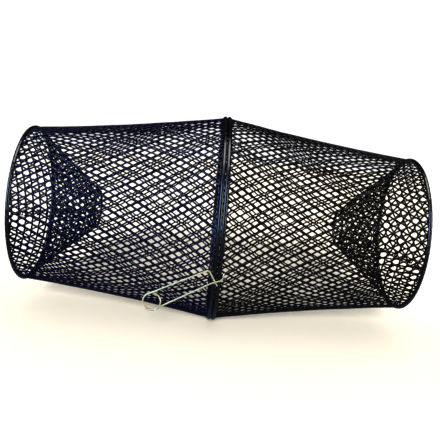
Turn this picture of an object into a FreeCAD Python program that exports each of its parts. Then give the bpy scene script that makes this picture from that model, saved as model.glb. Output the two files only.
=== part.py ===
import FreeCAD, Part
import math
import os

import Sketcher

# A two-half wire crab trap. +X runs along the trap's axis, +Z is up, and the origin is on
# the axis in the plane where the two halves meet. Sizes are in millimetres and degrees.
DIMENSIONS = [
    # the frame of each half
    ("rim_radius", 122.0),
    ("rim_wire", 3.9),
    ("rim_spacing", 5.0),
    ("end_radius", 91.6),
    ("end_wire", 4.6),
    ("half_length", 229.5),
    # the two mesh skins of each half
    ("wall", 1.2),
    ("body_curve", 2600.0),
    ("funnel_depth", 80.0),
    ("throat_radius", 22.0),
    ("throat_wire", 3.2),
    # the small rings that close the rolled skins
    ("seam_wire", 1.2),
    ("seam_ring", 2.4),
    ("body_seam_rings", 9.0),
    ("funnel_seam_rings", 5.0),
    # the two hinge rings on the far side
    ("hinge_angle", 22.5),
    ("hinge_reach", 2.6),
    ("hinge_ring", 7.6),
    ("hinge_wire", 2.0),
    ("hinge_spread", 12.0),
    ("hinge_play", 0.5),
    # the spring clip on the near side
    ("clip_angle", 22.5),
    ("clip_lean", 4.0),
    ("clip_wire", 1.7),
    ("clip_reach", 4.4),
    ("clip_axis", 6.0),
    ("coil_radius", 9.4),
    ("coil_pitch", 2.2),
    ("coil_side", -72.6),
    ("coil_drop", -30.3),
]

# where each seam lies, in degrees up from +Y, seen from the right-hand end
SEAMS = {
    "left_body": 72.0,
    "right_body": 40.0,
    "left_funnel": 181.0,
    "right_funnel": 194.0,
}

AXIS_X = FreeCAD.Vector(1, 0, 0)
AXIS_Y = FreeCAD.Vector(0, 1, 0)
AXIS_Z = FreeCAD.Vector(0, 0, 1)
ALONG_X = FreeCAD.Rotation(AXIS_Y, 90)

doc = FreeCAD.newDocument("crab_trap")
sheet = doc.addObject("Spreadsheet::Sheet", "Dimensions")
for row, (alias, value) in enumerate(DIMENSIONS, 1):
    sheet.set(f"A{row}", alias)
    sheet.set(f"B{row}", str(value))
    sheet.setAlias(f"B{row}", alias)
doc.recompute()

nodes = []


def cell(alias):
    return float(getattr(sheet, alias))


def bind(target, **expressions):
    """Ties properties of an object to cells of the sheet."""
    for name, expression in expressions.items():
        target.setExpression(name, expression)


def finish(target, label):
    """Names a finished sub-part, which is also the name of its file."""
    target.Label = label
    nodes.append(target)
    return target


def torus(name, radius, wire, centre, turn):
    """A closed wire ring. radius and wire are expressions, wire its full thickness."""
    ring = doc.addObject("Part::Torus", name)
    bind(ring, Radius1=radius, Radius2=f"({wire}) / 2")
    ring.Placement = FreeCAD.Placement(centre, turn)
    return ring


def cut(name, base, *tools):
    """Takes each tool away from the base in turn."""
    for number, tool in enumerate(tools):
        step = doc.addObject("Part::Cut", f"{name}_{number}")
        step.Base = base
        step.Tool = tool
        base = step
    return base


def mirrored(name, source):
    """The same piece on the other half of the trap."""
    copy = doc.addObject("Part::Mirroring", name)
    copy.Source = source
    copy.Normal = AXIS_X
    return copy


# ---------------------------------------------------------------- the wire rims
def rim(name, radius, wire, side, place):
    """A rim round the trap's axis, on the left (side -1) or the right (side 1) half."""
    ring = torus(name, f"Dimensions.{radius}", f"Dimensions.{wire}", FreeCAD.Vector(), ALONG_X)
    ring.setExpression("Placement.Base.x", f"{side} * ({place})")
    return ring


MID_PLACE = "Dimensions.rim_spacing / 2"
END_PLACE = "Dimensions.half_length"
THROAT_PLACE = "Dimensions.half_length - Dimensions.funnel_depth"

rims = {}
for half, side in (("left", -1), ("right", 1)):
    rims[half] = {
        "mid": rim(f"{half}_mid_rim", "rim_radius", "rim_wire", side, MID_PLACE),
        "end": rim(f"{half}_end_rim", "end_radius", "end_wire", side, END_PLACE),
        "throat": rim(f"{half}_throat_ring", "throat_radius", "throat_wire", side, THROAT_PLACE),
    }
    finish(rims[half]["mid"], f"{half}_mid_rim")
    finish(rims[half]["end"], f"{half}_end_rim")
    finish(rims[half]["throat"], f"{half}_throat_ring")


# ---------------------------------------------------------------- the hinge rings
def hinge_tori(name, extra):
    """The pair of rings on the hinge axis, or fatter ones for the room that they need."""
    angle = math.radians(cell("hinge_angle"))
    outward = FreeCAD.Vector(0, math.cos(angle), math.sin(angle))
    along = FreeCAD.Vector(0, -math.sin(angle), math.cos(angle))
    middle = outward * (cell("rim_radius") + cell("hinge_reach"))
    wire = f"Dimensions.hinge_wire + 2 * ({extra})"
    turn = FreeCAD.Rotation(AXIS_Z, along)
    spread = cell("hinge_spread")
    return [
        torus(f"{name}_{number}", "Dimensions.hinge_ring", wire, middle + along * place, turn)
        for number, place in enumerate((-spread, spread))
    ]


hinge_rings = hinge_tori("hinge_ring", "0")
ring_room = hinge_tori("ring_room", "Dimensions.hinge_play")
pair = doc.addObject("Part::Compound", "hinge_pair")
pair.Links = hinge_rings
finish(pair, "hinge_rings")


# ---------------------------------------------------------------- the mesh skins
def corner(sketch, edge, end, x, y):
    """Pins one end of an edge to a place given by two expressions."""
    for kind, expression in (("DistanceX", x), ("DistanceY", y)):
        start = sketch.getPoint(edge, end)
        value = start.x if kind == "DistanceX" else start.y
        index = sketch.addConstraint(Sketcher.Constraint(kind, -1, 1, edge, end, value))
        sketch.setExpression(f"Constraints[{index}]", expression)


def skin(name, near, far, curve=None):
    """A thin skin turned about the trap's axis, from near to far, each a pair of cells for
    its place along the axis and its radius. With a curve it is waisted: both faces are arcs
    whose centre lies far outside."""
    body = doc.addObject("PartDesign::Body", name)
    sketch = body.newObject("Sketcher::SketchObject", f"{name}_profile")
    plane = next(f for f in body.Origin.OriginFeatures if f.Role == "XY_Plane")
    sketch.AttachmentSupport = (plane, [""])
    sketch.MapMode = "FlatFace"

    half_wall = cell("wall") / 2
    ends = [(near[2], near[3]), (far[2], far[3])]
    edges = []
    for offset, sign in ((half_wall, "+"), (-half_wall, "-")):
        (x0, y0), (x1, y1) = ends
        first = FreeCAD.Vector(x0, y0 + offset, 0)
        last = FreeCAD.Vector(x1, y1 + offset, 0)
        if curve:
            chord = last - first
            inward = FreeCAD.Vector(chord.y, -chord.x, 0).normalize()
            sag = chord.Length**2 / (8 * cell(curve))
            middle = (first + last) / 2 + inward * (sag if inward.y < 0 else -sag)
            edge = sketch.addGeometry(Part.Arc(first, middle, last))
        else:
            edge = sketch.addGeometry(Part.LineSegment(first, last))
        start = 1 if (sketch.getPoint(edge, 1) - first).Length < 0.01 else 2
        rise = f"{sign} Dimensions.wall / 2"
        corner(sketch, edge, start, near[0], f"{near[1]} {rise}")
        corner(sketch, edge, 3 - start, far[0], f"{far[1]} {rise}")
        edges.append((edge, start))
    if curve:
        for edge, _ in edges:
            index = sketch.addConstraint(Sketcher.Constraint("Radius", edge, cell(curve)))
            sketch.setExpression(f"Constraints[{index}]", f"Dimensions.{curve}")
    (outer, outer_start), (inner, inner_start) = edges
    for one, other in ((outer_start, inner_start), (3 - outer_start, 3 - inner_start)):
        ends_here = sketch.getPoint(outer, one), sketch.getPoint(inner, other)
        side = sketch.addGeometry(Part.LineSegment(*ends_here))
        sketch.addConstraint(Sketcher.Constraint("Coincident", side, 1, outer, one))
        sketch.addConstraint(Sketcher.Constraint("Coincident", side, 2, inner, other))

    turned = body.newObject("PartDesign::Revolution", f"{name}_turned")
    turned.Profile = sketch
    turned.ReferenceAxis = (sketch, ["H_Axis"])
    turned.Angle = 360
    return body


def station(place, radius):
    """An expression and a value for a place on the axis and for a radius."""
    values = {
        MID_PLACE: cell("rim_spacing") / 2,
        END_PLACE: cell("half_length"),
        THROAT_PLACE: cell("half_length") - cell("funnel_depth"),
    }
    return place, f"Dimensions.{radius}", values[place], cell(radius)


MID = station(MID_PLACE, "rim_radius")
END = station(END_PLACE, "end_radius")
THROAT = station(THROAT_PLACE, "throat_radius")

body_blank = skin("body_blank", MID, END, curve="body_curve")
body_trimmed = cut("body_trimmed", body_blank, rims["right"]["mid"], rims["right"]["end"])
funnel_blank = skin("funnel_blank", THROAT, END)
funnel = cut("funnel", funnel_blank, rims["right"]["throat"], rims["right"]["end"])

finish(cut("right_body", body_trimmed, *ring_room), "right_body_mesh")
finish(cut("left_body", mirrored("body_mirror", body_trimmed), *hinge_rings), "left_body_mesh")
finish(funnel, "right_funnel_mesh")
finish(mirrored("funnel_mirror", funnel), "left_funnel_mesh")


# ---------------------------------------------------------------- the seam rings
def body_radius(x):
    """Radius of the waisted body skin at a distance from the middle of the trap."""
    x0, y0, x1, y1 = MID[2], MID[3], END[2], END[3]
    share = (x - x0) / (x1 - x0)
    chord = math.hypot(x1 - x0, y1 - y0)
    sag = chord**2 / (8 * cell("body_curve"))
    return y0 + (y1 - y0) * share - 4 * sag * share * (1 - share)


def funnel_radius(x):
    """Radius of the funnel skin at a distance from the middle of the trap."""
    share = (x - THROAT[2]) / (END[2] - THROAT[2])
    return THROAT[3] + (END[3] - THROAT[3]) * share


def seam(label, side, angle, radius_at, start, stop, count):
    """A row of small rings clinched through a skin, each round the lapped edges."""
    angle = math.radians(angle)
    outward = FreeCAD.Vector(0, math.cos(angle), math.sin(angle))
    rings = []
    for number in range(count):
        x = start + (stop - start) * number / (count - 1)
        ahead = FreeCAD.Vector(side, 0, 0) + outward * (radius_at(x + 0.5) - radius_at(x - 0.5))
        centre = FreeCAD.Vector(side * x, 0, 0) + outward * radius_at(x)
        turn = FreeCAD.Rotation(AXIS_Z, ahead)
        name = f"{label}_{number}"
        rings.append(torus(name, "Dimensions.seam_ring", "Dimensions.seam_wire", centre, turn))
    row = doc.addObject("Part::Compound", f"{label}_row")
    row.Links = rings
    finish(row, label)


BODY_SEAM_MARGIN = 20.0
FUNNEL_SEAM_MARGIN = 12.0
for half, side in (("left", -1), ("right", 1)):
    seam(
        f"{half}_body_seam_rings",
        side,
        SEAMS[f"{half}_body"],
        body_radius,
        MID[2] + BODY_SEAM_MARGIN,
        END[2] - BODY_SEAM_MARGIN,
        int(cell("body_seam_rings")),
    )
    seam(
        f"{half}_funnel_seam_rings",
        side,
        SEAMS[f"{half}_funnel"],
        funnel_radius,
        THROAT[2] + FUNNEL_SEAM_MARGIN,
        END[2] - FUNNEL_SEAM_MARGIN,
        int(cell("funnel_seam_rings")),
    )


# ---------------------------------------------------------------- the spring clip
# The clip is drawn in its own flat frame: x towards the right half, y up along the rims,
# z straight out. Its swing axis is the frame's y axis, beside the right rim. Each leg starts
# with its share of the coil, turns to the leg's heading in degrees, and then follows runs
# (a length) and bends (a radius and a turn, positive to the left).
LOWER_HEADING = 30.1
LOWER_COIL_TURN = 335.0
LOWER_STEPS = [(64.0,), (15.0, -10.1), (7.9,), (5.0, 62.0), (4.6,)]
UPPER_HEADING = 27.0
UPPER_COIL_TURN = -208.0
UPPER_STEPS = [(64.0,), (12.0, -20.0), (2.0, -66.0), (17.0,)]


def clip_placement():
    """Where the clip's own frame lies on the trap."""
    angle = math.radians(cell("clip_angle"))
    radius = cell("rim_radius") + cell("clip_reach")
    base = FreeCAD.Vector(cell("clip_axis"), -radius * math.cos(angle), -radius * math.sin(angle))
    return FreeCAD.Placement(base, FreeCAD.Rotation(AXIS_X, 90 + cell("clip_lean")))


def polar(radius, angle):
    angle = math.radians(angle)
    return FreeCAD.Vector(radius * math.cos(angle), radius * math.sin(angle), 0)


def track(start, heading, steps):
    """Edges of a flat path whose runs and bends all join smoothly."""
    edges, here = [], start
    for step in steps:
        if len(step) == 1:
            there = here + polar(step[0], heading)
            edges.append(Part.LineSegment(here, there).toShape())
            here = there
            continue
        radius, turn = step
        left = 90 if turn > 0 else -90
        centre = here + polar(radius, heading + left)
        middle = centre + polar(radius, heading - left + turn / 2)
        there = centre + polar(radius, heading - left + turn)
        edges.append(Part.Arc(here, middle, there).toShape())
        here, heading = there, heading + turn
    return edges


def clip_leg(label, height, coil_turn, leg_heading, steps):
    """One of the clip's two lengths of wire, round the coil and along its leg."""
    radius = cell("coil_radius")
    heading = leg_heading - coil_turn
    side = -90 if coil_turn > 0 else 90
    coil_centre = FreeCAD.Vector(cell("coil_side"), cell("coil_drop"), height)
    start = coil_centre + polar(radius, heading + side)
    path = Part.Wire(track(start, heading, [(radius, coil_turn), *steps]))
    disc = Part.Wire(Part.makeCircle(cell("clip_wire") / 2, start, polar(1.0, heading)))
    wire = doc.addObject("Part::Feature", label)
    wire.Shape = path.makePipeShell([disc], True, False)
    wire.Placement = clip_placement()
    finish(wire, label)


clip_leg("clip_coil_leg", 0.0, LOWER_COIL_TURN, LOWER_HEADING, LOWER_STEPS)
clip_leg("clip_catch_leg", cell("coil_pitch"), UPPER_COIL_TURN, UPPER_HEADING, UPPER_STEPS)
doc.recompute()

# ---------------------------------------------------------------- checks and output
for thing in doc.Objects:
    if "Invalid" in thing.State or "Error" in thing.State:
        raise RuntimeError(f"{thing.Name} failed: {thing.State}")

os.makedirs("parts", exist_ok=True)
for node in nodes:
    shape = node.Shape
    if shape.isNull() or not shape.isValid() or not shape.Solids:
        raise RuntimeError(f"{node.Label} has no sound solid")
    print(f"{node.Label}: {len(shape.Solids)} solids, {shape.Volume:.0f} mm3")
    shape.exportStep(f"parts/{node.Label}.step")
print(f"{len(nodes)} nodes")
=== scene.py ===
# %% [markdown]
# # A two-half wire crab trap
# The trap is two waisted cones of black vinyl-dipped expanded steel mesh, held mouth to mouth by
# two round rims, with a funnel in each end and one bright spring clip across the middle. The CAD
# model gives the true sizes and the moving bodies. This lesson dresses it: each mesh skin is made
# again as real strands, and each wire gets its own surface.

import math

import bmesh
import bpy
from mathutils import Matrix, Vector


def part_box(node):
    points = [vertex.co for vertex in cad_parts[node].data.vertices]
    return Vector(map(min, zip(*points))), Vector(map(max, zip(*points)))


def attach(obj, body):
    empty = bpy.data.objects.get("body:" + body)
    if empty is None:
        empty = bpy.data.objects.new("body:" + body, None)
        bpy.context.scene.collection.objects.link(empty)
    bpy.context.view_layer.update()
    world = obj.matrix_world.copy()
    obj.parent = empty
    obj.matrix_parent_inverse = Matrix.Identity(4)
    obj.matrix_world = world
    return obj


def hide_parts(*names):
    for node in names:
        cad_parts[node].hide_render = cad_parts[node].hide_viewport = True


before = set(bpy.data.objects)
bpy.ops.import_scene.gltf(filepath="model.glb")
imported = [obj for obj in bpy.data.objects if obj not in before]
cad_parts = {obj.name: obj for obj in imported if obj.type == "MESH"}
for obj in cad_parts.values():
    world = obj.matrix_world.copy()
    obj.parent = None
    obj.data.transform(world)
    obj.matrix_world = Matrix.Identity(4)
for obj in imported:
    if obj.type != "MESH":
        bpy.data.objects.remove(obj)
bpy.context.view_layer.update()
print("CAD nodes:", ", ".join(sorted(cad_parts)))

# %% [markdown]
# ## The sizes
# The driving sizes come from the CAD nodes' boxes. If they were typed in again, a change to the CAD
# model would leave this one behind. A ring that lies across the trap's axis has a wire as thick as
# its box is long in X, and the radius of its centre line is half the box's height less half that
# wire. Each body's side is hollow along a long arc, and the waist is the arc's depth.

# %% Measure the rims
MM = 0.001
HALVES = {"left": -1, "right": 1}


def measure_ring(node):
    """Place along the axis, radius of the wire's centre line, and radius of the wire."""
    low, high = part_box(node)
    wire = (high.x - low.x) / 2
    return abs(low.x + high.x) / 2, (high.z - low.z) / 2 - wire, wire


MID_X, MID_RADIUS, MID_WIRE = measure_ring("right_mid_rim")
END_X, END_RADIUS, END_WIRE = measure_ring("right_end_rim")
THROAT_X, THROAT_RADIUS, THROAT_WIRE = measure_ring("right_throat_ring")
BODY_LENGTH = END_X - MID_X
BODY_ARC = 2600 * MM
WAIST = BODY_LENGTH**2 / (8 * BODY_ARC)
print(f"radius of the middle rim {MID_RADIUS / MM:.1f} mm, of the end rim {END_RADIUS / MM:.1f} mm")
print(f"a half reaches {END_X / MM:.1f} mm from the middle, and its waist is {WAIST / MM:.2f} mm")

# %% [markdown]
# ## Helpers for Geometry Nodes
# The trap is thousands of equal cells bent round cones, which Geometry Nodes do well. A tree has
# many small sums in it, and a node for each is long to write by hand. Here each +, -, * or / on a
# Field adds one Math node to the tree.


# %% Sums in a node tree
class Field:
    """One socket of a node tree, which can be added, multiplied and so on."""

    def __init__(self, tree, socket):
        self.tree = tree
        self.socket = socket

    def math(self, operation, *others):
        return self.tree.math(operation, self, *others)

    def __add__(self, other):
        return self.math("ADD", other)

    def __sub__(self, other):
        return self.math("SUBTRACT", other)

    def __mul__(self, other):
        return self.math("MULTIPLY", other)

    def __truediv__(self, other):
        return self.math("DIVIDE", other)

    def __neg__(self):
        return self.math("MULTIPLY", -1.0)

    def over(self, limit):
        return self.math("GREATER_THAN", limit)


print("Field: one socket, in a sum")


# %% New objects and their finished meshes
def new_object(name, data):
    made = bpy.data.objects.new(name, data)
    bpy.context.scene.collection.objects.link(made)
    return made


def finished_mesh(source, material):
    """What an object's curve or modifiers give, as a plain mesh of one material."""
    evaluated = source.evaluated_get(bpy.context.evaluated_depsgraph_get())
    mesh = bpy.data.meshes.new_from_object(evaluated)
    mesh.materials.clear()
    mesh.materials.append(material)
    return mesh


print("object helpers: new_object, finished_mesh")


# %% A node tree with named inputs
class Tree:
    """A geometry node tree with named inputs, which ends by realising and painting its mesh."""

    def __init__(self, name, counts, numbers):
        self.group = bpy.data.node_groups.new(name, "GeometryNodeTree")
        sockets = [("Geometry", "Geometry"), ("Material", "Material")]
        sockets += [(label, "Int") for label in counts] + [(label, "Float") for label in numbers]
        face = self.group.interface
        self.identifiers = {}
        for label, kind in sockets:
            socket = face.new_socket(label, in_out="INPUT", socket_type=f"NodeSocket{kind}")
            self.identifiers[label] = socket.identifier
        face.new_socket("Geometry", in_out="OUTPUT", socket_type="NodeSocketGeometry")
        self.entry = self.group.nodes.new("NodeGroupInput")

    def given(self, label):
        return Field(self, self.entry.outputs[label])

    def node(self, kind, inputs=None, output=0, **settings):
        """Adds a node, sets it up, feeds its named or numbered inputs, and gives its output."""
        node = self.group.nodes.new(kind)
        for name, value in settings.items():
            setattr(node, name, value)
        for name, value in (inputs or {}).items():
            if isinstance(value, Field):
                self.group.links.new(value.socket, node.inputs[name])
            else:
                node.inputs[name].default_value = value
        return Field(self, node.outputs[output])

    def math(self, operation, *values):
        return self.node("ShaderNodeMath", dict(enumerate(values)), operation=operation)

    def vector(self, x, y, z):
        return self.node("ShaderNodeCombineXYZ", {"X": x, "Y": y, "Z": z})

    def parts(self, vector):
        split = self.node("ShaderNodeSeparateXYZ", {"Vector": vector})
        return [Field(self, output) for output in split.socket.node.outputs]

    def smooth_step(self, value, start, stop):
        """Goes from 0 to 1 as the value goes from start to stop, easing in and out."""
        inputs = {"Value": value, "From Min": start, "From Max": stop}
        return self.node("ShaderNodeMapRange", inputs, interpolation_type="SMOOTHSTEP")

    def noise(self, place, output="Fac"):
        inputs = {"Vector": place, "Scale": 1.0, "Detail": 1.0}
        return self.node("ShaderNodeTexNoise", inputs, output=output)

    def attribute(self, name, data_type="FLOAT_VECTOR"):
        kind = "GeometryNodeInputNamedAttribute"
        return self.node(kind, {"Name": name}, data_type=data_type)

    def move(self, geometry, place):
        inputs = {"Geometry": geometry, "Position": place}
        return self.node("GeometryNodeSetPosition", inputs)

    def close(self, geometry):
        """Ends the tree: real mesh, smooth shading, one material."""
        real = self.node("GeometryNodeRealizeInstances", {"Geometry": geometry})
        smooth = self.node("GeometryNodeSetShadeSmooth", {"Geometry": real})
        inputs = {"Geometry": smooth, "Material": self.given("Material")}
        painted = self.node("GeometryNodeSetMaterial", inputs)
        exit_node = self.group.nodes.new("NodeGroupOutput")
        self.group.links.new(painted.socket, exit_node.inputs["Geometry"])

    def run(self, name, mesh, material, **values):
        """Runs the tree on a mesh and gives the result as a plain mesh object."""
        source = new_object(name, mesh)
        modifier = source.modifiers.new("nodes", "NODES")
        modifier.node_group = self.group
        for label, value in values.items():
            modifier[self.identifiers[label]] = value
        modifier[self.identifiers["Material"]] = material
        made = finished_mesh(source, material)
        source.modifiers.remove(modifier)
        source.data = made
        made.name = name
        triangles = sum(len(face.vertices) - 2 for face in made.polygons)
        print(f"{name}: {triangles} triangles")
        return source


print("Tree: one node tree, to build and to run")


# %% Put a piece on its body
def seat(piece, body, slot, *nodes):
    """The piece rides on a body and stands in for CAD nodes, which are hidden. The slot is not
    used.
    """
    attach(piece, body)
    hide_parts(*nodes)


# %% [markdown]
# ## The finishes
# Everything black on the trap was dipped in liquid vinyl after it was put together. The skin is
# smooth and shiny, but not even: it has a fine orange-peel, and it holds a little dust. A painted
# image would have to be unwrapped on every strand, and noise in Object coordinates needs none of
# that. All the black materials share one node group for it, and each keeps its own Principled
# shader and its own colours. The halves' colours hold painted reflections: the left half is tinted
# blue for the cool light on its side, the right one brown for the warm light on its side. The rims
# are neutral and shine most.


# %% Helpers for shader nodes
def new_group(name, inputs, outputs):
    group = bpy.data.node_groups.new(name, "ShaderNodeTree")
    for side, sockets in (("INPUT", inputs), ("OUTPUT", outputs)):
        for label, kind in sockets.items():
            group.interface.new_socket(label, in_out=side, socket_type=f"NodeSocket{kind}")
    return group, group.nodes.new("NodeGroupInput"), group.nodes.new("NodeGroupOutput")


def place_node(tree, kind, **settings):
    node = tree.nodes.new(kind)
    for name, value in settings.items():
        setattr(node, name, value)
    return node


def noise_node(tree, vector, scale, detail):
    node = place_node(tree, "ShaderNodeTexNoise")
    tree.links.new(vector, node.inputs["Vector"])
    node.inputs["Scale"].default_value = scale
    node.inputs["Detail"].default_value = detail
    return node


def remap_node(tree, value, low, high, to_low, to_high):
    node = place_node(tree, "ShaderNodeMapRange")
    tree.links.new(value, node.inputs["Value"])
    limits = {"From Min": low, "From Max": high, "To Min": to_low, "To Max": to_high}
    for label, number in limits.items():
        node.inputs[label].default_value = number
    return node


def mix_node(tree, factor, first, second):
    node = place_node(tree, "ShaderNodeMix", data_type="RGBA")
    for socket, value in ((0, factor), (6, first), (7, second)):
        if isinstance(value, bpy.types.NodeSocket):
            tree.links.new(value, node.inputs[socket])
        else:
            node.inputs[socket].default_value = value
    return node.outputs[2]


print("shader helpers: noise_node, remap_node, mix_node")


# %% The dipped vinyl group
def build_vinyl_group():
    """Colours from thick to thin vinyl with dust on it, a roughness, and an orange-peel height."""
    inputs = {"Vector": "Vector"}
    inputs.update(dict.fromkeys(("Deep Colour", "Thin Colour", "Dust Colour"), "Color"))
    outputs = {"Colour": "Color", "Roughness": "Float", "Height": "Float"}
    group, entry, leave = new_group("dipped vinyl", inputs, outputs)
    place = entry.outputs["Vector"]
    thickness = noise_node(group, place, 55.0, 3.0)
    peel = noise_node(group, place, 900.0, 1.0)
    dust = noise_node(group, place, 240.0, 4.0)
    coat = remap_node(group, thickness.outputs["Fac"], 0.35, 0.65, 0.0, 1.0)
    tones = entry.outputs["Deep Colour"], entry.outputs["Thin Colour"]
    body = mix_node(group, coat.outputs[0], *tones)
    speck = remap_node(group, dust.outputs["Fac"], 0.62, 0.8, 0.0, 0.35)
    colour = mix_node(group, speck.outputs[0], body, entry.outputs["Dust Colour"])
    rough = remap_node(group, dust.outputs["Fac"], 0.3, 0.8, 0.17, 0.38)
    group.links.new(colour, leave.inputs["Colour"])
    group.links.new(rough.outputs[0], leave.inputs["Roughness"])
    group.links.new(peel.outputs["Fac"], leave.inputs["Height"])
    return group


VINYL_GROUP = build_vinyl_group()
print(f"{VINYL_GROUP.name}: {len(VINYL_GROUP.nodes)} nodes")


# %% The black materials
PEEL_DEPTH = 0.05 * MM
VINYL_IOR = 1.53


def start_material(name, metallic):
    """A Principled material, with the Object coordinates that its patterns read."""
    material = bpy.data.materials.new(name)
    material.use_nodes = True
    tree = material.node_tree
    shader = tree.nodes["Principled BSDF"]
    shader.inputs["Metallic"].default_value = metallic
    place = place_node(tree, "ShaderNodeTexCoord").outputs["Object"]
    return material, tree, shader, place


def bump_node(tree, shader, height, distance, strength):
    bump = place_node(tree, "ShaderNodeBump")
    bump.inputs["Distance"].default_value = distance
    bump.inputs["Strength"].default_value = strength
    tree.links.new(height, bump.inputs["Height"])
    tree.links.new(bump.outputs["Normal"], shader.inputs["Normal"])


def vinyl(name, deep, thin, dust, bump, shine):
    """One copy of the dipped vinyl: its thick, thin and dusty colours, its orange-peel and its
    shine.
    """
    material, tree, shader, place = start_material(name, 0.0)
    group = place_node(tree, "ShaderNodeGroup", node_tree=VINYL_GROUP)
    tree.links.new(place, group.inputs["Vector"])
    for label, colour in (("Deep Colour", deep), ("Thin Colour", thin), ("Dust Colour", dust)):
        group.inputs[label].default_value = (*colour, 1.0)
    tree.links.new(group.outputs["Colour"], shader.inputs["Base Color"])
    tree.links.new(group.outputs["Roughness"], shader.inputs["Roughness"])
    bump_node(tree, shader, group.outputs["Height"], PEEL_DEPTH, bump)
    shader.inputs["IOR"].default_value = VINYL_IOR
    shader.inputs["Specular IOR Level"].default_value = shine
    return material


# painted reflection: the blue in these colours stands in for the cool light on the left half
LEFT_VINYL_PAINTED_COOL_SHEEN = vinyl(
    "left_vinyl_painted_cool_sheen",
    deep=(0.001, 0.001, 0.009),
    thin=(0.002, 0.002, 0.02),
    dust=(0.02, 0.02, 0.05),
    bump=0.35,
    shine=0.32,
)
# painted reflection: the brown in these colours stands in for the warm light on the right half
RIGHT_VINYL_PAINTED_WARM_SHEEN = vinyl(
    "right_vinyl_painted_warm_sheen",
    deep=(0.002, 0.001, 0.001),
    thin=(0.005, 0.004, 0.002),
    dust=(0.03, 0.027, 0.016),
    bump=0.35,
    shine=0.3,
)
RIM_VINYL = vinyl(
    "rim_dipped_vinyl",
    deep=(0.001, 0.001, 0.001),
    thin=(0.003, 0.003, 0.003),
    dust=(0.02, 0.02, 0.02),
    bump=0.2,
    shine=0.9,
)
print("black finishes:", LEFT_VINYL_PAINTED_COOL_SHEEN.name, RIGHT_VINYL_PAINTED_WARM_SHEEN.name, RIM_VINYL.name)

# %% [markdown]
# The clip and the hinge rings are bare wire, put on after the dip: bright, with fine scratches,
# and cloudy where they have been handled. They differ only in tone, so one function gives both. A
# slow noise mixes the bright and the dull colour, and a quick one makes the scratches.


# %% The bare wire materials
SCRATCH_DEPTH = 0.02 * MM


def bare_wire(name, metal, bright, dull, low_rough, high_rough):
    """A drawn wire: two tones of metal, and the range of its roughness."""
    material, tree, shader, place = start_material(name, metal)
    cloud = noise_node(tree, place, 320.0, 4.0)
    scratch = noise_node(tree, place, 2400.0, 2.0)
    share = remap_node(tree, cloud.outputs["Fac"], 0.35, 0.7, 0.0, 1.0)
    colour = mix_node(tree, share.outputs[0], (*bright, 1.0), (*dull, 1.0))
    rough = remap_node(tree, scratch.outputs["Fac"], 0.3, 0.7, low_rough, high_rough)
    tree.links.new(colour, shader.inputs["Base Color"])
    tree.links.new(rough.outputs[0], shader.inputs["Roughness"])
    bump_node(tree, shader, scratch.outputs["Fac"], SCRATCH_DEPTH, 0.3)
    return material


CLIP_STEEL = bare_wire("clip_spring_steel", 0.6, (0.62, 0.6, 0.4), (0.36, 0.34, 0.2), 0.2, 0.4)
RING_ZINC = bare_wire("hinge_ring_zinc", 0.8, (0.5, 0.5, 0.48), (0.3, 0.3, 0.28), 0.3, 0.5)
print("bare finishes:", CLIP_STEEL.name, RING_ZINC.name)

# %% [markdown]
# ## One cell of expanded mesh
# Expanded mesh is a sheet that was slit and pulled open. Each hole is a long diamond, and where
# two holes meet end to end the metal stays joined in a short bond, so the lines between the holes
# make a flattened honeycomb. A picture of holes on the skin would have no thickness, and crossed
# wires would lie over one another, as this mesh's strands don't. So one cell is drawn flat, as the
# band between that honeycomb line and the edge of the hole. An attribute holds how far the inner
# ring lies from the line in metres, so that strands keep their width where the cells shrink. A
# second one marks the line itself, which is the ridge of each strand.

# %% Draw the flat cell
STRAND = 0.88 * MM  # half a strand, measured along the slant below
STRAND_SLANT = math.radians(36)
SHOULDERS = 0.24, 0.76  # shares of a strand between which it keeps that width
BOND_HALF_WIDTH = 1.1 * MM
BOND_SHARE = 0.2  # share of a row where two strands are joined
TIP_REACH = 1.9 * MM  # from the line to the tip of the hole
NOMINAL_CELL = 10 * MM  # the size that the flat cell is drawn for


def cell_outline():
    """The honeycomb line round one hole, in columns and rows, with each point's inset."""
    slope = Vector((-0.5, 1 - BOND_SHARE))
    along = Vector((math.cos(STRAND_SLANT), math.sin(STRAND_SLANT))) * -STRAND
    corner = Vector((0.5, BOND_SHARE / 2))
    quarter = [
        (corner, Vector((-BOND_HALF_WIDTH, 0))),
        (corner + slope * SHOULDERS[0], along),
        (corner + slope * SHOULDERS[1], along),
        (corner + slope, Vector((0, -TIP_REACH))),
    ]
    outline = []
    for x, y in ((1, 1), (-1, 1), (-1, -1), (1, -1)):
        points = quarter if x == y else quarter[-2::-1]
        outline += [((p.x * x, p.y * y), (inset.x * x, inset.y * y)) for p, inset in points]
    return outline


def cell_mesh():
    """The flat band round one hole, with its two attributes."""
    outline = cell_outline()
    count = len(outline)
    verts = [(*place, 0.0) for place, _ in outline]
    verts += [(p[0] + i[0] / NOMINAL_CELL, p[1] + i[1] / NOMINAL_CELL, 0.0) for p, i in outline]
    faces = [(n, (n + 1) % count, count + (n + 1) % count, count + n) for n in range(count)]
    mesh = bpy.data.meshes.new("mesh_cell")
    mesh.from_pydata(verts, [], faces)
    inset = mesh.attributes.new("inset", "FLOAT_VECTOR", "POINT")
    for number, (_, reach) in enumerate(outline):
        inset.data[count + number].vector = (*reach, 0.0)
    ridge = mesh.attributes.new("ridge", "FLOAT", "POINT")
    for number in range(count):
        ridge.data[number].value = 1.0
    print(f"one cell: {count} points round its hole")
    return mesh


CELL = cell_mesh()

# %% [markdown]
# ## The body mesh
# Each body is a sheet of that mesh, rolled into a waisted cone. A Wireframe modifier on a cone
# would be shorter, but its joints would have no bond. So the sheet is made flat first, as the real
# one is: the cell is copied to every place of a grid, with each second row half a column over.
# Shared points are merged, the ends are cut straight, and the sheet gets its thickness, higher
# along the ridge of each strand, because vinyl gathers there. Then every point is rolled onto the
# cone. The two edges lap over one another, and a little noise pulls the cells out of line and
# dents the side, because the mesh is soft.


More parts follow.
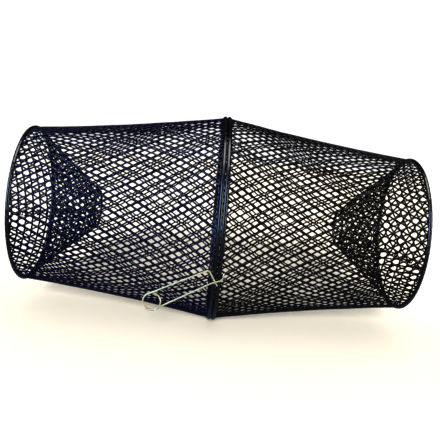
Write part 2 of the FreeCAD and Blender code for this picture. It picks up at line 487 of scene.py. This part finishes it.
# %% Steps that both mesh trees share
MESH_THICKNESS = 1.4 * MM
EDGE_HEIGHT = 0.5  # height at a strand's edges, as a share of the ridge's
LAP_LIFT = 0.52  # how far a lapped edge moves, in thicknesses
WANDER = 0.7 * MM  # the range over which noise pulls a cell out of line
WANDER_SCALE = 0.45  # noise cells to one mesh cell
DENT_SEED = 7.0  # keeps the dents' noise apart from the cells' noise
SAME_POINT = 0.01  # in cells, the gap below which points merge


def sheet_of_cells(tree, columns, rows):
    """A flat sheet of cells, in columns and rows, with its shared points merged."""
    inputs = {"Size X": 1.0, "Size Y": 1.0, "Vertices X": columns, "Vertices Y": rows}
    grid = tree.node("GeometryNodeMeshGrid", inputs)
    index = tree.node("GeometryNodeInputIndex")
    row = index.math("FLOORED_MODULO", rows)
    column = (index / rows).math("FLOOR")
    shift = row.math("FLOORED_MODULO", 2.0) * 0.5
    grid = tree.move(grid, tree.vector(column + shift, row, 0.0))
    inputs = {"Points": grid, "Instance": tree.given("Geometry")}
    copies = tree.node("GeometryNodeInstanceOnPoints", inputs)
    sheet = tree.node("GeometryNodeRealizeInstances", {"Geometry": copies})
    on_line = tree.attribute("ridge", "FLOAT").over(0.5)
    inputs = {"Geometry": sheet, "Selection": on_line, "Distance": SAME_POINT}
    return tree.node("GeometryNodeMergeByDistance", inputs)


def on_the_line(tree):
    """Each point's place on the honeycomb line, in columns and rows, and its inset in metres."""
    x, y, z = tree.parts(tree.node("GeometryNodeInputPosition"))
    inset_x, inset_y, _ = tree.parts(tree.attribute("inset"))
    return x - inset_x / NOMINAL_CELL, y - inset_y / NOMINAL_CELL, z, inset_x, inset_y


def thicken(tree, sheet, thickness):
    """Gives a flat sheet its two faces, which stand highest over the ridge of each strand."""
    inputs = {"Mesh": sheet, "Offset": tree.vector(0.0, 0.0, thickness), "Individual": False}
    raised = tree.node("GeometryNodeExtrudeMesh", inputs)
    under = tree.node("GeometryNodeFlipFaces", {"Mesh": sheet})
    both = tree.node("GeometryNodeJoinGeometry", {"Geometry": raised})
    tree.group.links.new(under.socket, both.socket.node.inputs["Geometry"])
    x, y, z = tree.parts(tree.node("GeometryNodeInputPosition"))
    side = (z / thickness).math("ROUND") * 2.0 - 1.0
    crown = tree.attribute("ridge", "FLOAT") * (1 - EDGE_HEIGHT) + EDGE_HEIGHT
    shaped = tree.move(both, tree.vector(x, y, side * crown * thickness * 0.5))
    inputs = {"Geometry": shaped, "Distance": 0.02 * MM}
    return tree.node("GeometryNodeMergeByDistance", inputs)


def wander(tree, x, y):
    """How far each cell is pulled across and along the sheet."""
    spot = tree.vector(x * WANDER_SCALE, y * WANDER_SCALE, tree.given("Seed"))
    across, along, _ = tree.parts(tree.noise(spot, "Color"))
    return (across - 0.5) * WANDER, (along - 0.5) * WANDER


def dents(tree, x, y):
    """How far the sheet bulges out or in at a place in noise cells."""
    spot = tree.vector(x, y, tree.given("Seed") + DENT_SEED)
    return (tree.noise(spot) - 0.5) * tree.given("Dents")


print(f"mesh {MESH_THICKNESS / MM:.1f} mm thick, cells up to {WANDER / MM / 2:.2f} mm out of line")


# %% The body tree
CUT_MARGIN = 0.01  # rows past the end before a face is cut away
CALM_ROWS = 1.5  # rows at each end that the rim holds in line
LAP_COLUMNS = 2.5, 0.6  # columns from the edge where the lap starts and is complete
BODY_DENT_SCALE = 0.09, 0.16  # noise cells to one column and to one row


def build_body_tree():
    """The flat sheet, and then its points rolled round the axis of the trap."""
    numbers = ["Thickness", "Start Place", "Start Radius", "End Radius", "Length", "Waist"]
    numbers += ["Row Pitch", "Row Growth", "Seam Angle", "Side", "Dents", "Seed"]
    tree = Tree("rolled body mesh", ["Columns", "Rows"], numbers)
    columns, rows, thickness = map(tree.given, ("Columns", "Rows", "Thickness"))
    sheet = sheet_of_cells(tree, columns + 1.0, rows + 1.0)

    x, y, z, inset_across, inset_along = on_the_line(tree)
    beyond = tree.math("MAXIMUM", -y, y - rows).over(CUT_MARGIN)
    inputs = {"Geometry": sheet, "Selection": beyond}
    sheet = tree.node("GeometryNodeDeleteGeometry", inputs, domain="FACE")
    held = tree.math("MINIMUM", tree.math("MAXIMUM", y, 0.0), rows)
    flat_x, _, flat_z = tree.parts(tree.node("GeometryNodeInputPosition"))
    sheet = tree.move(sheet, tree.vector(flat_x, held + inset_along / NOMINAL_CELL, flat_z))
    sheet = thicken(tree, sheet, thickness)

    wander_across, wander_along = wander(tree, x, y)
    start, length, waist = map(tree.given, ("Start Place", "Length", "Waist"))
    drop = tree.given("End Radius") - tree.given("Start Radius")
    loose = tree.smooth_step(y, 0.0, CALM_ROWS) * tree.smooth_step(rows - y, 0.0, CALM_ROWS)
    place = y * tree.given("Row Pitch") + y * y * tree.given("Row Growth") + inset_along
    place = place + wander_along * loose
    share = place / length
    radius = tree.given("Start Radius") + drop * share - waist * 4.0 * share * (-share + 1.0)
    slope = (drop - waist * 4.0 * (share * -2.0 + 1.0)) / length
    upright = tree.math("INVERSE_SQRT", slope * slope + 1.0)
    lap_start, lap_stop = LAP_COLUMNS
    lap = tree.smooth_step(x, columns - lap_start, columns - lap_stop)
    lap = lap - tree.smooth_step(x, lap_start, lap_stop)
    dent = dents(tree, x * BODY_DENT_SCALE[0], y * BODY_DENT_SCALE[1]) * loose
    height = z + lap * thickness * LAP_LIFT + dent
    side = tree.given("Side")
    angle = (x / columns) * math.tau + (inset_across + wander_across) / radius
    angle = tree.given("Seam Angle") + angle * side
    reach = radius + height * upright
    along = (start + place - slope * upright * height) * side
    rolled = tree.vector(along, reach * angle.math("COSINE"), reach * angle.math("SINE"))
    tree.close(tree.move(sheet, rolled))
    return tree


body_tree = build_body_tree()
print(f"body tree: {len(body_tree.group.nodes)} nodes")

# %% Roll the two bodies
COLUMNS = 76
ROWS = 28
ROW_GROWTH = 0.0121 * MM  # rows lengthen a little towards the end rim
ROW_PITCH = BODY_LENGTH / ROWS - ROW_GROWTH * ROWS
BODY_SEAMS = {"left": math.radians(72), "right": math.radians(40)}
# the left half's vinyl carries a painted cool reflection, the right half's a painted warm one
MESH_VINYL_WITH_PAINTED_SHEEN = {"left": LEFT_VINYL_PAINTED_COOL_SHEEN, "right": RIGHT_VINYL_PAINTED_WARM_SHEEN}

for half, side in HALVES.items():
    values = {
        "Columns": COLUMNS,
        "Rows": ROWS,
        "Thickness": MESH_THICKNESS,
        "Start Place": MID_X,
        "Start Radius": MID_RADIUS,
        "End Radius": END_RADIUS,
        "Length": BODY_LENGTH,
        "Waist": WAIST,
        "Row Pitch": ROW_PITCH,
        "Row Growth": ROW_GROWTH,
        "Seam Angle": BODY_SEAMS[half],
        "Side": float(side),
        "Dents": 1.2 * MM,
        "Seed": 3.0 + side,
    }
    piece = body_tree.run(f"{half}_body_strands", CELL, MESH_VINYL_WITH_PAINTED_SHEEN[half], **values)
    seat(piece, f"{half}_half", f"{half}_mesh", f"{half}_body_mesh")

# %% [markdown]
# ## The funnels
# A funnel is the same mesh, but its sheet isn't stretched to the cone as the body's is. A fan is
# cut from it and rolled up, so the diamonds turn as they go round the cone and meet at an angle at
# the seam, which cells that shrink towards the throat couldn't show. The tree makes a flat sheet
# in metres, cuts the fan out of it with a Boolean, and rolls the fan. A cone whose side makes an
# angle with its axis opens into a fan that is a full circle times that angle's sine. Rolling turns
# the faces inwards, so they are flipped at the end.


# %% The funnel tree
FAN_STEPS = 97
FAN_DEPTH = 20 * MM  # well past both faces of the sheet that it cuts
LAP_ANGLES = 0.09, 0.03  # radians of the flat fan from its edge where the lap starts and stops
FUNNEL_DENT_SCALE = 18.0  # noise cells to a metre


def fan_solid(tree, inner, outer, half_angle):
    """A flat slab in the shape of the fan: a long thin box bent round the fan's point."""
    size = tree.vector(1.0, 1.0, 1.0)
    inputs = {"Size": size, "Vertices X": FAN_STEPS, "Vertices Y": 2, "Vertices Z": 2}
    slab = tree.node("GeometryNodeMeshCube", inputs)
    x, y, z = tree.parts(tree.node("GeometryNodeInputPosition"))
    reach = inner + (outer - inner) * (y + 0.5)
    angle = x * half_angle * 2.0
    bent = tree.vector(reach * angle.math("SINE"), reach * angle.math("COSINE"), z * FAN_DEPTH)
    return tree.move(slab, bent)


def build_funnel_tree():
    """The flat sheet in metres, the fan cut from it, and then the fan rolled into a cone."""
    numbers = ["Column Width", "Row Pitch", "Thickness", "Throat Place", "Throat Radius"]
    numbers += ["Length", "End Radius", "Lap", "Sheet Turn", "Middle Angle"]
    numbers += ["Side", "Dents", "Seed"]
    tree = Tree("rolled funnel mesh", ["Columns", "Rows"], numbers)
    columns, rows, thickness = map(tree.given, ("Columns", "Rows", "Thickness"))
    sheet = sheet_of_cells(tree, columns, rows)
    sheet = thicken(tree, sheet, thickness)

    x, y, z, inset_x, inset_y = on_the_line(tree)
    wander_x, wander_y = wander(tree, x, y)
    radial = (x - columns * 0.5) * tree.given("Column Width") + inset_x + wander_x
    tangent = (y - rows * 0.5) * tree.given("Row Pitch") + inset_y + wander_y
    turn = tree.given("Sheet Turn")
    turn_cos, turn_sin = turn.math("COSINE"), turn.math("SINE")
    flat_x = radial * turn_sin - tangent * turn_cos
    flat_y = radial * turn_cos + tangent * turn_sin
    sheet = tree.move(sheet, tree.vector(flat_x, flat_y, z))

    throat, end = tree.given("Throat Radius"), tree.given("End Radius")
    rise, length = end - throat, tree.given("Length")
    slant = (rise * rise + length * length).math("SQRT")
    closing = rise / slant
    half_fan = closing * math.pi + tree.given("Lap")
    fan = fan_solid(tree, throat / closing, end / closing, half_fan)
    join = tree.group.nodes.new("GeometryNodeMeshBoolean")
    join.operation = "INTERSECT"
    join.solver = "MANIFOLD"
    for solid in (sheet, fan):
        tree.group.links.new(solid.socket, join.inputs["Mesh 2"])
    cut = Field(tree, join.outputs["Mesh"])

    x, y, z = tree.parts(tree.node("GeometryNodeInputPosition"))
    reach = (x * x + y * y).math("SQRT")
    around = x.math("ARCTAN2", y)
    radius = reach * closing
    limit = closing * math.pi
    lap_start, lap_stop = LAP_ANGLES
    lap = tree.smooth_step(around, limit - lap_start, limit - lap_stop)
    lap = lap - tree.smooth_step(around, -limit + lap_start, -limit + lap_stop)
    dent = dents(tree, x * FUNNEL_DENT_SCALE, y * FUNNEL_DENT_SCALE)
    height = z + lap * thickness * LAP_LIFT + dent
    side = tree.given("Side")
    angle = tree.given("Middle Angle") - around / closing * side
    lie = length / slant
    out = radius + height * lie
    place = tree.given("Throat Place") + (radius - throat) / rise * length - closing * height
    rolled = tree.vector(place * side, out * angle.math("COSINE"), out * angle.math("SINE"))
    turned_out = tree.node("GeometryNodeFlipFaces", {"Mesh": tree.move(cut, rolled)})
    tree.close(turned_out)
    return tree


funnel_tree = build_funnel_tree()
print(f"funnel tree: {len(funnel_tree.group.nodes)} nodes")

# %% Roll the two funnels
FUNNEL_COLUMNS, FUNNEL_ROWS = 32, 36
COLUMN_WIDTH = 9.4 * MM
FUNNEL_ROW_PITCH = 8.2 * MM
FUNNEL_LAP = 0.03  # radians of the flat fan past its edge
FUNNEL_SEAMS = {"left": math.radians(181), "right": math.radians(194)}
SHEET_TURNS = {"left": math.radians(90), "right": math.radians(76)}

for half, side in HALVES.items():
    values = {
        "Columns": FUNNEL_COLUMNS,
        "Rows": FUNNEL_ROWS,
        "Column Width": COLUMN_WIDTH,
        "Row Pitch": FUNNEL_ROW_PITCH,
        "Thickness": MESH_THICKNESS,
        "Throat Place": THROAT_X,
        "Throat Radius": THROAT_RADIUS,
        "Length": END_X - THROAT_X,
        "End Radius": END_RADIUS,
        "Lap": FUNNEL_LAP,
        "Sheet Turn": SHEET_TURNS[half],
        "Middle Angle": FUNNEL_SEAMS[half] + math.pi,
        "Side": float(side),
        "Dents": 1.0 * MM,
        "Seed": 11.0 + side,
    }
    piece = funnel_tree.run(f"{half}_funnel_strands", CELL, MESH_VINYL_WITH_PAINTED_SHEEN[half], **values)
    seat(piece, f"{half}_half", f"{half}_mesh", f"{half}_funnel_mesh")

# %% [markdown]
# ## The rims
# A rim is one steel wire bent round and welded. The cut strands of the mesh are clenched round it,
# and the vinyl covers all of it, so the rim has a faint knuckle at each strand and is never quite
# the same thickness. A torus with bump would keep a smooth outline. So a small circle is swept
# along a large one, and every point then moves in or out a little.


# %% The rim tree
RIM_STEPS, WIRE_STEPS = 608, 14
KNUCKLE_SHARPNESS = 4.0
RIM_NOISE_SCALE = 60.0  # noise cells to a metre


def build_rim_tree():
    """A swept ring across the trap's axis, whose wire swells at each strand."""
    numbers = ["Radius", "Wire", "Place", "Strands", "First Strand", "Knuckle"]
    tree = Tree("dipped rim", [], [*numbers, "Unevenness", "Seed"])
    radius, wire = tree.given("Radius"), tree.given("Wire")
    circle = {"Resolution": RIM_STEPS, "Radius": radius}
    path = tree.node("GeometryNodeCurvePrimitiveCircle", circle)
    circle = {"Resolution": WIRE_STEPS, "Radius": wire}
    profile = tree.node("GeometryNodeCurvePrimitiveCircle", circle)
    ring = tree.node("GeometryNodeCurveToMesh", {"Curve": path, "Profile Curve": profile})
    x, y, z = tree.parts(tree.node("GeometryNodeInputPosition"))
    angle = y.math("ARCTAN2", x)
    phase = (angle - tree.given("First Strand")) * tree.given("Strands")
    crest = (phase.math("COSINE") * 0.5 + 0.5).math("POWER", KNUCKLE_SHARPNESS)
    crest = crest * tree.given("Knuckle")
    spot = tree.vector(x * RIM_NOISE_SCALE, y * RIM_NOISE_SCALE, tree.given("Seed"))
    uneven = (tree.noise(spot) - 0.5) * tree.given("Unevenness")
    swell = (wire + crest + uneven) / wire
    reach = (x * x + y * y).math("SQRT")
    grown = ((reach - radius) * swell + radius) / reach
    across, up = x * grown, y * grown
    tree.close(tree.move(ring, tree.vector(z * swell + tree.given("Place"), across, up)))
    return tree


rim_tree = build_rim_tree()
print(f"rim tree: {len(rim_tree.group.nodes)} nodes")

# %% Bend the six rims
CLENCHED = 0.55 * MM  # vinyl and strand ends round the bare middle rims
KNUCKLE_SINK = 0.6  # share of a knuckle by which the wire is thinned
# Place along the axis, radius, radius of the wire, number of strands, height of a knuckle.
RIMS = {
    "mid_rim": (MID_X, MID_RADIUS, MID_WIRE + CLENCHED, COLUMNS, 0.06 * MM),
    "end_rim": (END_X, END_RADIUS, END_WIRE, COLUMNS, 0.14 * MM),
    "throat_ring": (THROAT_X, THROAT_RADIUS, THROAT_WIRE, 16, 0.1 * MM),
}
EMPTY = bpy.data.meshes.new("nothing")
for half, side in HALVES.items():
    for number, (part, (place, radius, wire, strands, knuckle)) in enumerate(RIMS.items()):
        values = {
            "Radius": radius,
            "Wire": wire - knuckle * KNUCKLE_SINK,
            "Place": place * side,
            "Strands": float(strands),
            "First Strand": BODY_SEAMS[half] + side * math.pi / strands,
            "Knuckle": knuckle,
            "Unevenness": 0.2 * MM,
            "Seed": 20.0 + number * 2 + side,
        }
        piece = rim_tree.run(f"{half}_{part}_wire", EMPTY, RIM_VINYL, **values)
        seat(piece, f"{half}_half", "rim", f"{half}_{part}")

# %% [markdown]
# ## The small rings
# The seams are closed, and the two halves are hinged, with short wires squeezed into rings by
# pliers, which fishermen call hog rings. Such a ring is a little more than one turn of a spiral,
# because its cut ends pass each other, which a torus can't show. One tree puts a ring on every
# point it is given, with its axis along a direction held in the point's attribute.


# %% The ring tree
RING_STEPS = 26
RING_TURNS = 1.08
RING_PITCH = 2.1  # how far the ends stand apart, in radii of the wire


def build_ring_tree():
    """A squeezed ring with closed ends, copied to every point along its own axis."""
    tree = Tree("squeezed rings", ["Sides"], ["Radius", "Wire"])
    radius, wire = tree.given("Radius"), tree.given("Wire")
    spiral = {
        "Resolution": RING_STEPS,
        "Rotations": RING_TURNS,
        "Start Radius": radius,
        "End Radius": radius,
        "Height": wire * RING_PITCH,
    }
    path = tree.node("GeometryNodeCurveSpiral", spiral)
    middle = {"Geometry": path, "Translation": tree.vector(0.0, 0.0, wire * (-RING_PITCH / 2))}
    path = tree.node("GeometryNodeTransform", middle)
    circle = {"Resolution": tree.given("Sides"), "Radius": wire}
    profile = tree.node("GeometryNodeCurvePrimitiveCircle", circle)
    sweep = {"Curve": path, "Profile Curve": profile, "Fill Caps": True}
    ring = tree.node("GeometryNodeCurveToMesh", sweep)
    aim = {"Vector": tree.attribute("axis")}
    facing = tree.node("FunctionNodeAlignRotationToVector", aim, axis="Z")
    copies = {"Points": tree.given("Geometry"), "Instance": ring, "Rotation": facing}
    tree.close(tree.node("GeometryNodeInstanceOnPoints", copies))
    return tree


def ring_points(name, centres, axes):
    """A mesh of loose points that hold the rings' axes."""
    mesh = bpy.data.meshes.new(name)
    mesh.from_pydata([tuple(centre) for centre in centres], [], [])
    attribute = mesh.attributes.new("axis", "FLOAT_VECTOR", "POINT")
    for number, axis in enumerate(axes):
        attribute.data[number].vector = axis
    return mesh


ring_tree = build_ring_tree()
print(f"ring tree: {len(ring_tree.group.nodes)} nodes")

# %% [markdown]
# The rings sit where the CAD model has them, so that the two models can't drift apart: each centre
# is the middle of one loose part of the CAD node's mesh, and each axis runs from the ring before
# to the ring after. The hinge rings are drawn a little larger, to clear the clenched rims.


# %% Find the rings
def loose_centres(node):
    """The middle of every separate ring in a CAD node, in order along the trap's axis."""
    work = bmesh.new()
    work.from_mesh(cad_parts[node].data)
    bmesh.ops.remove_doubles(work, verts=work.verts, dist=0.01 * MM)
    left = set(work.verts)
    centres = []
    while left:
        group, edge = set(), [left.pop()]
        while edge:
            vert = edge.pop()
            group.add(vert)
            near = {e.other_vert(vert) for e in vert.link_edges} & left
            left -= near
            edge += near
        low = Vector([min(v.co[n] for v in group) for n in range(3)])
        high = Vector([max(v.co[n] for v in group) for n in range(3)])
        centres.append((low + high) / 2)
    work.free()
    return sorted(centres, key=lambda centre: (round(abs(centre.x), 4), centre.z))


def ring_axes(centres):
    """The direction from each ring's neighbour before it to the one after it."""
    last = len(centres) - 1
    return [
        (centres[min(n + 1, last)] - centres[max(n - 1, 0)]).normalized() for n in range(last + 1)
    ]


hinges = loose_centres("hinge_rings")
print("hinge rings at", [tuple(round(c / MM, 1) for c in centre) for centre in hinges])

# %% Put the rings on
SEAM_RING, SEAM_WIRE = 2.4 * MM, 0.6 * MM
HINGE_RING, HINGE_WIRE = 7.9 * MM, 1.0 * MM
for half in HALVES:
    for skin in ("body", "funnel"):
        node = f"{half}_{skin}_seam_rings"
        centres = loose_centres(node)
        points = ring_points(f"{node}_points", centres, ring_axes(centres))
        values = {"Radius": SEAM_RING, "Wire": SEAM_WIRE, "Sides": 8}
        piece = ring_tree.run(f"{half}_{skin}_seam_hog_rings", points, RIM_VINYL, **values)
        seat(piece, f"{half}_half", "seam_ring", node)

points = ring_points("hinge_points", hinges, ring_axes(hinges))
values = {"Radius": HINGE_RING, "Wire": HINGE_WIRE, "Sides": 12}
piece = ring_tree.run("hinge_hog_rings", points, RING_ZINC, **values)
seat(piece, "left_half", "hinge_ring", "hinge_rings")

# %% [markdown]
# ## The spring clip
# The clip is one spring wire. It hooks in at the right half, runs back over both rims, winds one
# and a half turns round an open coil, and comes forward again to a crossbar that snaps over the
# front of the first leg. Its two lengths ride on two bodies, because the second one moves when the
# clip is opened. Points typed in by hand would never give round bends, so each length is walked,
# run by run and bend by bend, as the wire was bent, and a curve with a round bevel follows it. The
# steps are written flat, in the clip's own frame, which leans against the side of the trap.

# %% The clip's own frame
CLIP_ANGLE = math.radians(22.5)
CLIP_LEAN = math.radians(4)
CLIP_REACH = MID_RADIUS + 4.4 * MM
CLIP_BASE = Vector((6 * MM, 0, 0))
CLIP_BASE.yz = -CLIP_REACH * math.cos(CLIP_ANGLE), -CLIP_REACH * math.sin(CLIP_ANGLE)
CLIP_UP = Vector((0, -math.sin(CLIP_LEAN), math.cos(CLIP_LEAN)))
CLIP_OUT = Vector((0, -math.cos(CLIP_LEAN), -math.sin(CLIP_LEAN)))
CLIP_WIRE = 0.85 * MM
COIL_CENTRE = Vector((-72.6, -30.3)) * MM
COIL_RADIUS = 9.4 * MM
COIL_RISE = 2.2 * MM  # from the middle of one length to the middle of the other


def on_clip(x, y, out):
    """A point of the clip's frame, in the trap's frame."""
    return CLIP_BASE + Vector((1, 0, 0)) * x + CLIP_UP * y + CLIP_OUT * out


def bearing(angle):
    return Vector((math.cos(angle), math.sin(angle)))


def walk(start, heading, steps):
    """Points along a flat path of runs (a length) and bends (a radius and a turn)."""
    here, points = Vector(start), []
    for step in steps:
        if len(step) == 1:
            here = here + bearing(heading) * step[0]
            points.append(here)
            continue
        radius, turn = step
        count = max(4, int(abs(turn) / math.radians(6)))
        left = math.copysign(math.pi / 2, turn)
        centre = here + bearing(heading + left) * radius
        for number in range(1, count + 1):
            points.append(centre + bearing(heading - left + turn * number / count) * radius)
        here = points[-1]
        heading += turn
    return points


print("clip frame at", tuple(round(c / MM, 1) for c in CLIP_BASE))


# %% A wire through points
END_REACH = 0.5  # how far a filed end stands out, in radii of the wire
END_SHARE = 0.55  # how thick it still is there


def clip_wire(name, places, radius):
    """A round wire through a list of points in the clip's frame, with filed ends."""
    curve = bpy.data.curves.new(name, "CURVE")
    curve.dimensions = "3D"
    curve.bevel_depth = radius
    curve.bevel_resolution = 4
    curve.use_fill_caps = True
    spline = curve.splines.new("POLY")
    first, last = Vector(places[0]), Vector(places[-1])
    lead_in = (first - Vector(places[1])).normalized() * radius * END_REACH
    lead_out = (last - Vector(places[-2])).normalized() * radius * END_REACH
    stations = [(first + lead_in, END_SHARE)]
    stations += [(place, 1.0) for place in places]
    stations.append((last + lead_out, END_SHARE))
    spline.points.add(len(stations) - 1)
    for point, (place, share) in zip(spline.points, stations):
        point.co = (*on_clip(*place), 1.0)
        point.radius = share
    source = new_object(name, curve)
    mesh = finished_mesh(source, CLIP_STEEL)
    bpy.data.objects.remove(source)
    work = bmesh.new()
    work.from_mesh(mesh)
    bmesh.ops.remove_doubles(work, verts=work.verts, dist=0.001 * MM)
    work.to_mesh(mesh)
    work.free()
    mesh.shade_smooth()
    print(f"{name}: {len(mesh.polygons)} faces")
    return new_object(name, mesh)


print(f"a clip wire is {CLIP_WIRE * 2 / MM:.1f} mm thick, and {END_SHARE:.0%} of that at its ends")


# %% The clip's two lengths
LOWER_HEADING, LOWER_COIL_TURN = math.radians(30.1), math.radians(335)
UPPER_HEADING, UPPER_COIL_TURN = math.radians(27), math.radians(-208)
COIL_OVERLAP = math.radians(20)  # where the two lengths are the same wire
RISE_ENDS, RISE_SPAN = 0.46, 0.4  # the shares of the lower coil's turn that climb
# A run is its length. A bend is its radius and its turn.
LOWER_STEPS = [
    (64 * MM,),
    (15 * MM, math.radians(-10.1)),
    (7.9 * MM,),
    (5 * MM, math.radians(62)),
    (4.6 * MM,),
]
UPPER_STEPS = [
    (64 * MM,),
    (12 * MM, math.radians(-20)),
    (2 * MM, math.radians(-66)),
    (17 * MM,),
]


def ease(share):
    """Goes from 0 to 1 with a gentle start and end."""
    share = min(max(share, 0.0), 1.0)
    return share * share * (3 - 2 * share)


def coil_point(angle, rise):
    x, y = COIL_CENTRE + bearing(angle) * COIL_RADIUS
    return x, y, rise


def coil_leg():
    """From the coil's far end round to the lower leg and its hook."""
    leave = LOWER_HEADING - math.pi / 2
    count = 72
    coil = []
    for number in range(count + 1):
        share = number / count
        rise = COIL_RISE * ease((RISE_ENDS - share) / RISE_SPAN)
        coil.append(coil_point(leave - LOWER_COIL_TURN * (1 - share), rise))
    leg = walk(coil[-1][:2], LOWER_HEADING, LOWER_STEPS)
    return coil + [(*place, 0.0) for place in leg]


def catch_leg():
    """The rest of the coil, the sprung leg and the crossbar."""
    leave = UPPER_HEADING + math.pi / 2
    start = leave - UPPER_COIL_TURN
    tail = [coil_point(start + COIL_OVERLAP * (1 - n / 4), COIL_RISE) for n in range(4)]
    count = 48
    shares = [n / count for n in range(count + 1)]
    coil = [coil_point(leave - UPPER_COIL_TURN * (1 - share), COIL_RISE) for share in shares]
    leg = walk(coil[-1][:2], UPPER_HEADING, UPPER_STEPS)
    return tail + coil + [(*place, COIL_RISE) for place in leg]


hooked = clip_wire("clip_hooked_wire", coil_leg(), CLIP_WIRE)
seat(hooked, "spring_clip", "clip_wire", "clip_coil_leg")
# A hair thinner, so that the faces of the shared stretch of coil don't coincide.
sprung = clip_wire("clip_sprung_wire", catch_leg(), CLIP_WIRE * 0.995)
seat(sprung, "clip_catch", "clip_wire", "clip_catch_leg")

# %% [markdown]
# ## The floor
# The trap lies on its middle rims on plain pale paper. A shiny black wire shows what is round it,
# so a bright floor would turn the underside of every strand pale. A studio would block that with
# dark cloths. Here Light Path does it: reflections see a darker floor than the camera does.


# %% The floor
FLOOR_REACH = 6.0
FLOOR_TONES = (0.93, 0.87, 0.74, 1.0), (0.96, 0.9, 0.78, 1.0)
# painted reflection: reflections see this dark bluish floor, which puts a painted blue sheen on the
# undersides of the strands
REFLECTED_FLOOR = (0.17, 0.2, 0.28, 1.0)


def mix_shaders(tree, factor, first, second):
    mixed = place_node(tree, "ShaderNodeMixShader")
    for socket, value in enumerate((factor, first, second)):
        tree.links.new(value, mixed.inputs[socket])
    return mixed.outputs[0]


def pale_floor():
    low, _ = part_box("right_mid_rim")
    mesh = bpy.data.meshes.new("floor")
    corners = [(-1, -1), (1, -1), (1, 1), (-1, 1)]
    verts = [(x * FLOOR_REACH, y * FLOOR_REACH, low.z) for x, y in corners]
    mesh.from_pydata(verts, [], [(0, 1, 2, 3)])
    floor = new_object("floor", mesh)
    material, tree, shader, place = start_material("pale_paper", 0.0)
    grain = noise_node(tree, place, 12.0, 3.0)
    tone = mix_node(tree, grain.outputs["Fac"], *FLOOR_TONES)
    tree.links.new(tone, shader.inputs["Base Color"])
    shader.inputs["Roughness"].default_value = 0.85
    shader.inputs["Specular IOR Level"].default_value = 0.0
    dark = place_node(tree, "ShaderNodeBsdfDiffuse")
    dark.inputs["Color"].default_value = REFLECTED_FLOOR
    path = place_node(tree, "ShaderNodeLightPath").outputs["Is Glossy Ray"]
    surface = mix_shaders(tree, path, shader.outputs[0], dark.outputs[0])
    tree.links.new(surface, tree.nodes["Material Output"].inputs["Surface"])
    mesh.materials.append(material)
    print(f"floor at {low.z / MM:.1f} mm")


pale_floor()

# %% [markdown]
# ## The light
# One soft sun stands rather low in front, so that the shadow falls behind the trap. The glints
# come from three cards, as a studio hangs them: a white one on top, a cool one to the left and a
# warm one to the right. Unlike ordinary area lights they show only in reflections, so that a glint
# can be moved without moving the shadow.


# %% The sun and the cards
def card(name, place, size, power, colour):
    """A glowing card that faces the middle of the trap and is seen only in its shine."""
    light = bpy.data.lights.new(name, "AREA")
    light.shape = "RECTANGLE"
    light.size, light.size_y = size
    light.energy = power
    light.color = colour
    holder = new_object(name, light)
    holder.location = place
    holder.rotation_euler = (-Vector(place)).to_track_quat("-Z", "Y").to_euler()
    holder.visible_diffuse = False


def front_sun():
    """The main light, which lights the surfaces and is not seen in their shine."""
    light = bpy.data.lights.new("front_light", "SUN")
    light.energy = 6.5
    light.angle = math.radians(16)
    holder = new_object("front_light", light)
    holder.rotation_euler = (math.radians(71), 0, math.radians(-4))
    holder.visible_glossy = False


front_sun()
card("top_card", (0.0, -0.3, 1.6), (1.8, 1.0), 30.0, (0.95, 0.95, 1.0))
card("cool_card", (-1.3, -1.1, 0.5), (1.0, 1.6), 60.0, (0.25, 0.5, 1.0))
card("warm_card", (1.4, -1.0, 0.4), (0.5, 1.2), 20.0, (1.0, 0.8, 0.45))
print("lights:", ", ".join(sorted(light.name for light in bpy.data.lights)))

# %% [markdown]
# The room is white to look at and a little dimmer as a source of light. In reflections it is
# nearly black, so that the vinyl stays black. The Standard view keeps the room pure white, and a
# gamma below one deepens the dark tones.


# %% The room
def background(tree, colour, strength):
    node = place_node(tree, "ShaderNodeBackground")
    node.inputs["Color"].default_value = (*colour, 1.0)
    node.inputs["Strength"].default_value = strength
    return node.outputs[0]


def build_world():
    """A room that differs for the camera, for lighting and for reflections."""
    world = bpy.data.worlds.new("studio")
    bpy.context.scene.world = world
    world.use_nodes = True
    tree = world.node_tree
    tree.nodes.remove(tree.nodes["Background"])
    seen = background(tree, (1.0, 1.0, 1.0), 1.05)
    lit = background(tree, (0.93, 0.95, 1.0), 0.72)
    shine = background(tree, (0.8, 0.86, 1.0), 0.06)
    path = place_node(tree, "ShaderNodeLightPath").outputs
    unseen = mix_shaders(tree, path["Is Glossy Ray"], lit, shine)
    surface = mix_shaders(tree, path["Is Camera Ray"], unseen, seen)
    tree.links.new(surface, tree.nodes["World Output"].inputs["Surface"])


build_world()
bpy.context.scene.view_settings.view_transform = "Standard"
bpy.context.scene.view_settings.gamma = 0.68
print("view:", bpy.context.scene.view_settings.view_transform, "with gamma 0.68")

# %% [markdown]
# ## The camera
# The camera stands 0.7 m in front, level with the upper part of the trap and a little left of its
# middle. A longer lens from further off would lose the difference between the near and the far
# side's mesh. It looks slightly down and to the right, a few degrees askew.


# %% The camera
CAMERA_PLACE = Vector((-21.6, -702.9, 96.5)) * MM
CAMERA_TURN = math.radians(-1.9085)
CAMERA_TILT = math.radians(90 - 7.9958)
CAMERA_ROLL = math.radians(5.0756)

camera = bpy.data.cameras.new("camera")
camera.lens = 46.7
camera.sensor_width = 36
camera.clip_start = 0.01
holder = new_object("camera", camera)
turned = Matrix.Rotation(CAMERA_TURN, 4, "Z") @ Matrix.Rotation(CAMERA_TILT, 4, "X")
rolled = turned @ Matrix.Rotation(CAMERA_ROLL, 4, "Z")
holder.matrix_world = Matrix.Translation(CAMERA_PLACE) @ rolled
bpy.context.scene.camera = holder
print(f"camera {CAMERA_PLACE.length:.2f} m from the middle, {camera.lens:.1f} mm lens")
